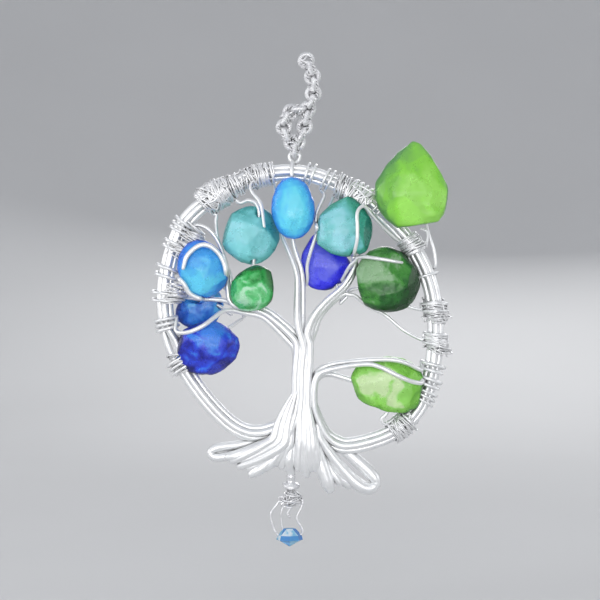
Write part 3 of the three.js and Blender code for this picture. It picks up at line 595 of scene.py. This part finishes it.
def middle_root():
    """The middle root once more, in front of the fan and down to the pivot of the drop's ring."""
    line = legs("root_wire_middle")[0] - Y_AXIS * MIDDLE_FORWARD
    pivot = ring_shape("drop_ring")[0]
    line = line[line[:, 2] > pivot[2] + 5 * MM]
    ending = np.array([pivot[0], pivot[1] - 0.8 * MM, pivot[2] + 0.8 * MM])
    return leaf(np.vstack([line, ending]), 1.8)


def root_strands():
    """More strands between the CAD root wires, so that the foot reads as one dense fan."""
    fan = []
    for node in ROOT_WIRES:
        fan += legs(node)[-1:] if node.endswith("hairpin") else legs(node)
    fan.sort(key=spread)
    tubes = [leaf(fan[0][:-3], 1.4), leaf(fan[-1][:-3], 2.0)]
    for left, right in zip(fan[:-1], fan[1:]):
        gap = np.linalg.norm(left[-1] - right[-1]) / MM
        forward = np.minimum(left[:, 1], right[:, 1])
        for share in ((0.33, 0.67) if gap > 7 else (0.5,)):
            line = left * (1 - share) + right * share
            line[:, 1] = (line[:, 1] + forward) / 2 + rng.uniform(-0.2, 0.4) * MM
            shortened = line[:LEG_POINTS - rng.integers(1, 4)]
            tubes.append(leaf(shortened, rng.uniform(1.6, 1.95)))
    tubes.append(middle_root())
    piece("root_strands", tubes, SILVER, "tree", "silver_wire")


def trunk_stretches():
    """The front wires' upright stretches in the trunk, from left to right."""
    found = []
    for node in HOOP_WIRES + ROOT_WIRES:
        points, _ = smoothed(*LINES[node])
        height = points[:, 2] - ROOTS_TOP
        inside = (height > -12 * MM) & (height < 14 * MM)
        inside &= np.abs(points[:, 0] - TRUNK_X) < 7 * MM
        edges = np.flatnonzero(np.diff(np.concatenate([[0], inside.astype(int), [0]])))
        for first, last in zip(edges[::2], edges[1::2]):
            part = points[first:last]
            if np.ptp(part[:, 2]) > 20 * MM and part[:, 1].mean() < -1 * MM:
                found.append(evenly(part[np.argsort(part[:, 2])], TRUNK_POINTS))
    return sorted(found, key=lambda part: part[:, 0].mean())


def trunk_strands():
    """Slimmer strands in the grooves between the front wires of the trunk."""
    parts = trunk_stretches()
    u = np.linspace(0, 1, TRUNK_POINTS)
    radii = np.interp(u, [0, 0.15, 0.8, 1], [0.3, 0.95, 0.9, 0.3]) * MM
    tubes = []
    for left, right in zip(parts[:-1], parts[1:]):
        line = (left + right) / 2 - Y_AXIS * 0.25 * MM
        tubes.append(tube(*smoothed(line, radii)))
    piece("trunk_strands", tubes, SILVER, "tree", "silver_wire")


# ---------- the bindings on the hoop ----------

def polar(points):
    """Angle round the hoop in degrees, and distance from its middle."""
    x, z = points[:, 0] - HUB.x, points[:, 2] - HUB.z
    return np.degrees(np.arctan2(z, x)), np.hypot(x, z)


HOOP_REACH = 48 * MM  # the hoop's plain radius, where no wire says otherwise
HOOP_INSIDE = 38 * MM  # every hoop wire is farther out than this
HOOP_STEP = 6  # degrees between the places of the profile
HOOP_BAND = 4.6 * MM  # how far a winding's wire may be from the middle of the band
WINDING_RADII = (0.47 * MM, 0.5 * MM)  # a CAD wire has a radius between these where it is wound
STRETCH_GAP = 3.2  # degrees without a winding that end a wound stretch
STRETCH_POINTS = 8  # a stretch has more points than this
TURN_POINTS = 16  # points for each turn of a fine wire
SCRIBBLE_POINTS = 12  # points for each unit of a crumpled wire's length


def hoop_profile():
    """Middle radius of the hoop's band of wires, step by step round it."""
    all_points = np.vstack([smoothed(*LINES[n])[0] for n in HOOP_WIRES])
    angle, reach = polar(all_points)
    outer = reach > HOOP_INSIDE
    steps = np.arange(-180, 181, HOOP_STEP)
    middle = []
    for step in steps:
        near = outer & (np.abs((angle - step + 180) % 360 - 180) < 5)
        middle.append((reach[near].min() + reach[near].max()) / 2 if near.any() else HOOP_REACH)
    return steps, np.array(middle)


PROFILE = hoop_profile()

# These are wound on the hoop too, but no fine wire goes over them.
BARE_WOUND = {"root_wire_middle", "tie_wire_azure_side", "tie_wire_lime_pear"}

KNOTS = (127, 63)  # where on the hoop the two large knots are, in degrees
KNOT_WIRES = 20  # lengths of wire crumpled into each


def on_hoop(angle, out, y):
    """Points at angles round the hoop, so far out from the band's middle, at depths y."""
    reach = np.interp((angle + 180) % 360 - 180, *PROFILE) + out
    turn = np.radians(angle)
    return np.column_stack([HUB.x + reach * np.cos(turn), y, HUB.z + reach * np.sin(turn)])


def wavy(count, waves, size):
    """A smooth random line of that size."""
    u = np.linspace(0, 1, count)
    knots = rng.uniform(-1, 1, waves + 2)
    return size * np.interp(u, np.linspace(0, 1, waves + 2), knots)


def winding(start, end, turns, wide, deep, mess, shift=0.0):
    """Fine wire wound untidily round the hoop between two angles."""
    count = int(turns * TURN_POINTS)
    u = np.linspace(0, 1, count)
    phase = 2 * math.pi * (turns * u + rng.uniform())
    angle = start + (end - start) * u + wavy(count, int(turns * 2.5), mess)
    loose = 1 + wavy(count, int(turns * 2), 0.11)
    out = (shift + wide * np.cos(phase) * loose) * MM
    y = deep * np.sin(phase) * (1 + wavy(count, int(turns * 2), 0.12)) * MM
    line = on_hoop(angle, out, y)
    radius = rng.uniform(0.22, 0.32) * MM
    return tube(*smoothed(line, np.full(count, radius), 0.8 * MM), FINE_SIDES)


def wound_stretches():
    """Angles where the CAD wires are wound on the hoop, joined into stretches."""
    angles = []
    for node in sorted(set(ROOT_WIRES + TIE_WIRES) - BARE_WOUND):
        points, radii = smoothed(*LINES[node], 1 * MM)
        angle, reach = polar(points)
        middle = np.interp(angle, *PROFILE)
        thin, thick = WINDING_RADII
        wound = (radii > thin) & (radii < thick) & (np.abs(reach - middle) < HOOP_BAND)
        angles.append(angle[wound])
    angles = np.sort(np.concatenate(angles))
    stretches, first = [], 0
    for k in range(1, len(angles) + 1):
        if k == len(angles) or angles[k] - angles[k - 1] > STRETCH_GAP:
            if k - first > STRETCH_POINTS:
                stretches.append((angles[first], angles[k - 1]))
            first = k
    return stretches


def scribble(angle, reach, size, length, radius):
    """Fine wire crumpled over the hoop's surface round that angle, size degrees to each side."""
    count = int(length * SCRIBBLE_POINTS)
    u = np.linspace(0, 1, count)
    way = np.cumsum(wavy(count, int(length * 1.4), 0.55) + 0.12 * rng.choice([-1, 1]))
    along = angle + size * np.sin(np.cumsum(wavy(count, int(length), 0.5)) + 6 * rng.uniform() + 2 * u)
    lift = reach + wavy(count, int(length * 1.5), 0.7)
    line = on_hoop(along, lift * np.cos(way) * MM, lift * np.sin(way) * 0.92 * MM)
    return tube(*smoothed(line, np.full(count, radius * MM), 0.7 * MM), FINE_SIDES)


def bindings():
    """Fine wire over every wound stretch of the hoop, and the two knots."""
    for index, (start, end) in enumerate(wound_stretches()):
        span = end - start
        tubes = []
        for _ in range(2 + int(span / 5)):
            width = min(span, rng.uniform(2.5, 5))
            at = rng.uniform(start, end - width) if span > width else start
            wide, deep = rng.uniform(3.2, 4.1), rng.uniform(3.1, 4.0)
            tubes.append(winding(at, at + width, rng.uniform(3, 5), wide, deep, rng.uniform(1.5, 3)))
        for _ in range(3 + int(span / 3)):
            at, size, length = rng.uniform(start, end), rng.uniform(1.5, 3.4), rng.uniform(5, 9)
            tubes.append(scribble(at, 3.7, size, length, radius=0.3))
        at, wide, shift = rng.uniform(start, end), rng.uniform(3.8, 4.6), rng.uniform(0.6, 1.8)
        tubes.append(winding(at - 1, at + 1.5, 1.6, wide, deep=3.9, mess=1.0, shift=shift))
        piece(f"binding_{index + 1}", tubes, FINE, "tree", "silver_wire")
    for index, angle in enumerate(KNOTS):
        tubes = []
        for _ in range(KNOT_WIRES):
            at, reach, size = angle + rng.uniform(-1.5, 1.5), rng.uniform(3.6, 5.2), rng.uniform(3, 6)
            tubes.append(scribble(at, reach, size, length=9, radius=0.4))
        piece(f"knot_{index + 1}", tubes, FINE, "tree", "silver_wire")


# ---------- the chain and the drop ----------

RING_POINTS = 96  # points round each closed ring

# Heights of the bow bead's rings above its middle in mm, and their radii as shares of its rim's.
BOW_PROFILE = ((-3.0, 0.24), (-2.0, 0.32), (-1.4, 0.5), (-1.0, 0.78), (-0.4, 0.97), (0.3, 0.97),
               (0.8, 0.76), (1.3, 0.5), (2.0, 0.45), (3.3, 0.52))

NEST_SHARES = (0.98, 0.85, 0.9, 0.35, 0.4, 0.3)  # how wide each tangle of the nest is, of the CAD nest
CRYSTAL_BLUES = [(0.05, (0.1, 0.3, 0.72)), (0.2, (0.12, 0.45, 0.85)), (0.34, (0.3, 0.66, 0.9)),
                 (0.5, (0.85, 0.95, 1.0))]


def across(normal):
    """Two directions at right angles to the normal and to each other."""
    first = np.cross(normal, Y_AXIS if abs(normal[1]) < 0.8 else [1.0, 0.0, 0.0])
    first /= np.linalg.norm(first)
    return first, np.cross(normal, first)


def twisted_ring(centre, normal, radius, strands, twists, off, wire):
    """A ring of fine wires twisted round each other."""
    u, v = across(normal)
    turn = 2 * math.pi * np.arange(RING_POINTS) / RING_POINTS
    way = np.outer(np.cos(turn), u) + np.outer(np.sin(turn), v)
    tubes = []
    for strand in range(strands):
        phase = twists * turn + 2 * math.pi * strand / strands
        reach = radius + off * np.cos(phase)
        line = centre + way * reach[:, None] + np.outer(off * np.sin(phase), normal)
        tubes.append(tube(line, np.full(RING_POINTS, wire), FINE_SIDES, closed=True))
    return tubes


def chain_link(node):
    """A link as a thick twist of wire, with two thinner rings leaning across it and a crumpled wire."""
    centre, normal, radius = ring_shape(node)
    tubes = twisted_ring(centre, normal, radius, strands=3, twists=7, off=0.56 * MM, wire=0.42 * MM)
    for axis in across(normal):
        tilt = Matrix.Rotation(rng.uniform(0.4, 0.7) * rng.choice([-1, 1]), 3, Vector(axis))
        leaning = np.array(tilt @ Vector(normal))
        inner = radius - 0.1 * MM
        tubes += twisted_ring(centre, leaning, inner, strands=2, twists=6, off=0.36 * MM, wire=0.3 * MM)
    tubes.append(tangle(centre, np.full(3, radius * 0.85), turns=2, radius=0.32 * MM))
    piece(node + "_twisted", tubes, CHAIN, BODY_OF[node], "bright_chain", node)


def tangle(middle, size, turns, radius):
    """Fine wire crumpled over an egg-shaped surface."""
    count = int(turns * TURN_POINTS)
    way = np.cumsum(wavy(count, int(turns * 1.5), 0.4) + 0.3 * rng.choice([-1, 1]))
    rise = np.cumsum(wavy(count, int(turns * 1.5), 0.4)) + rng.uniform(0, 6)
    lift = 1 + wavy(count, int(turns * 2), 0.16)
    egg = np.column_stack([np.cos(way) * np.cos(rise), np.sin(way) * np.cos(rise), np.sin(rise)])
    line = middle + size * egg * lift[:, None]
    return tube(*smoothed(line, np.full(count, radius), 0.4 * MM), FINE_SIDES)


def drop():
    """The wires of the drop, with one more leg inside the bail and crumpled wire in the nest."""
    ring = twisted_ring(*ring_shape("drop_ring"), strands=1, twists=0, off=0, wire=0.36 * MM)
    piece("drop_ring_round", ring, CHAIN, "drop_ring", "silver_wire", "drop_ring")
    for node in ("drop_stem", "drop_nest", "drop_bail"):
        points, radii = smoothed(*centreline(node), step=0.3 * MM)
        tubes = [tube(points, radii, sides=9)]
        if node == "drop_bail":
            low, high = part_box("drop_crystal")
            middle = (low.x + high.x) / 2
            inner = points[points[:, 0] < middle - 2 * MM].copy()
            inner[:, 0] = middle + (inner[:, 0] - middle) * 0.45
            tubes.append(tube(inner, np.full(len(inner), 0.24 * MM), FINE_SIDES))
        if node == "drop_nest":
            low, high = (np.array(c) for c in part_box(node))
            for share in NEST_SHARES:
                size = (high - low) / 2 * (share, share, 0.95)
                tubes.append(tangle((low + high) / 2, size, turns=3, radius=rng.uniform(0.2, 0.28) * MM))
        piece(node + "_round", tubes, CHAIN, BODY_OF[node], "silver_wire", node)


def bow():
    """The turned bead: a waisted button with a saddle-shaped rim and a neck up to the ring."""
    low, high = (np.array(c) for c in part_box("drop_bow"))
    middle = (low + high) / 2
    rim = (high[0] - low[0]) / 2
    points = np.array([middle + np.array([0, 0, height * MM]) for height, _ in BOW_PROFILE])
    radii = np.array([share * rim for _, share in BOW_PROFILE])
    corners, faces = tube(*smoothed(points, radii, step=0.2 * MM), sides=32)
    across_x, across_y = ((corners - middle) / rim)[:, :2].T
    corners[:, 2] += 0.5 * MM * (across_x ** 2 - across_y ** 2) - 0.3 * MM * across_x ** 3
    piece("drop_bow_round", [(corners, faces)], CHAIN, BODY_OF["drop_bow"], "silver_wire", "drop_bow")


def crystal():
    """The facetted crystal: crisp narrow edges, each facet its own blue."""
    made, shader, add, join = material("blue_crystal_facets")
    place = add("ShaderNodeTexCoord")
    cells = add("ShaderNodeTexVoronoi", {"Vector": place.outputs["Normal"], "Scale": 3.4})
    flecks = noise_at(add, place.outputs["Object"], 420.0, 3.0)
    tint = add("ShaderNodeSeparateColor", {"Color": cells.outputs["Color"]}).outputs["Red"]
    join(ramp(add, maths(add, "MULTIPLY", tint, flecks), CRYSTAL_BLUES), "Base Color")
    join(ramp(add, flecks, [(0.4, grey(0.03)), (0.7, grey(0.12))]), "Roughness")
    shader.inputs["IOR"].default_value = 1.6
    shader.inputs["Transmission Weight"].default_value = 0.3
    bm = welded("drop_crystal")
    mesh = bpy.data.meshes.new("crystal")
    bm.to_mesh(mesh)
    bm.free()
    obj = shown("drop_crystal_cut", mesh, made, BODY_OF["drop_crystal"], "blue_crystal", "drop_crystal")
    mesh.polygons.foreach_set("use_smooth", [False] * len(mesh.polygons))
    edges = obj.modifiers.new("edges", "BEVEL")
    edges.width = 0.12 * MM
    edges.segments = 2


# ---------- stage, light and camera ----------

FILLED = 495 / 600  # the share of the frame's height that the object fills
FLOOR_DROP = 22 * MM  # how far below the object the floor lies

# Each softbox: its name, its place from the object's middle, its size in metres and its power.
LIGHTS = (
    ("front", (-0.15, -1.0, 0.25), (0.9, 0.8), 3.7),
    ("left", (-0.95, -0.25, 0.2), (0.5, 0.9), 3.6),
    ("right", (0.95, -0.1, 0.1), (0.5, 0.9), 2.2),
    ("low", (0.0, -0.85, -0.06), (1.1, 0.2), 3.5),
    ("back", (0.2, 0.95, 0.45), (0.7, 0.5), 3.2),
)


def backdrop():
    """A pale floor that curves up into a wall all round, behind the camera too."""
    low = CAD_BOX[0].z - FLOOR_DROP
    flat, bend, top, spokes = 0.55, 1.2, 1.9, 96
    outline = [(0.0, low), (0.3, low), (flat, low)]
    for a in np.linspace(0.06, math.pi / 2, 24):
        outline.append((flat + bend * math.sin(a), low + bend * (1 - math.cos(a))))
    outline.append((flat + bend, low + top))
    around = np.linspace(0, 2 * math.pi, spokes, endpoint=False)
    corners = [(r * math.cos(a), r * math.sin(a), z) for r, z in outline for a in around]
    faces = []
    for here in range(0, (len(outline) - 1) * spokes, spokes):
        above = here + spokes
        for j in range(spokes):
            nxt = (j + 1) % spokes
            faces.append((here + j, here + nxt, above + nxt, above + j))
    mesh = bpy.data.meshes.new("floor")
    mesh.from_pydata(corners, [], faces)
    mesh.polygons.foreach_set("use_smooth", [True] * len(faces))
    floor = bpy.data.objects.new("floor", mesh)
    bpy.context.scene.collection.objects.link(floor)
    made, shader, add, join = material("pale_floor")
    place = add("ShaderNodeTexCoord").outputs["Object"]
    cloud = noise_at(add, place, 3.0, 2.0)
    join(ramp(add, cloud, [(0.3, grey(0.6)), (0.7, grey(0.63))]), "Base Color")
    shader.inputs["Roughness"].default_value = 0.9
    mesh.materials.append(made)


def softbox(name, place, size, power, target):
    """A rectangular light that faces the target and isn't seen itself."""
    light = bpy.data.lights.new(name, "AREA")
    light.shape = "RECTANGLE"
    light.size, light.size_y = size
    light.energy = power
    obj = bpy.data.objects.new(name, light)
    bpy.context.scene.collection.objects.link(obj)
    obj.location = place
    obj.rotation_euler = (Vector(target) - Vector(place)).to_track_quat("-Z", "Y").to_euler()
    obj.visible_camera = False


def light_and_camera():
    """Soft studio light, and a camera that looks straight at the front."""
    low, high = CAD_BOX
    centre = (low + high) / 2
    world = bpy.data.worlds.new("studio")
    world.use_nodes = True
    sky = world.node_tree.nodes["Background"].inputs
    sky["Color"].default_value = (0.9, 0.93, 1.0, 1)
    sky["Strength"].default_value = 0.75
    bpy.context.scene.world = world
    for name, offset, size, power in LIGHTS:
        softbox(name, centre + Vector(offset), size, power, centre)
    lens, sensor = 85, 36
    distance = (high.z - low.z) / FILLED * lens / sensor
    camera = bpy.data.cameras.new("camera")
    camera.lens, camera.sensor_width = lens, sensor
    camera.clip_start = 0.01
    obj = bpy.data.objects.new("camera", camera)
    bpy.context.scene.collection.objects.link(obj)
    obj.location = centre + Vector((0, -distance, 0))
    obj.rotation_euler = (math.pi / 2, 0, 0)
    bpy.context.scene.camera = obj
    bpy.context.scene.view_settings.view_transform = "Standard"


backdrop()
light_and_camera()
for node in LINES:
    wire_piece(node)
for index, node in enumerate(GLASS):
    nugget(node, index)
root_strands()
trunk_strands()
bindings()
for node in LINKS:
    chain_link(node)
drop()
bow()
crystal()
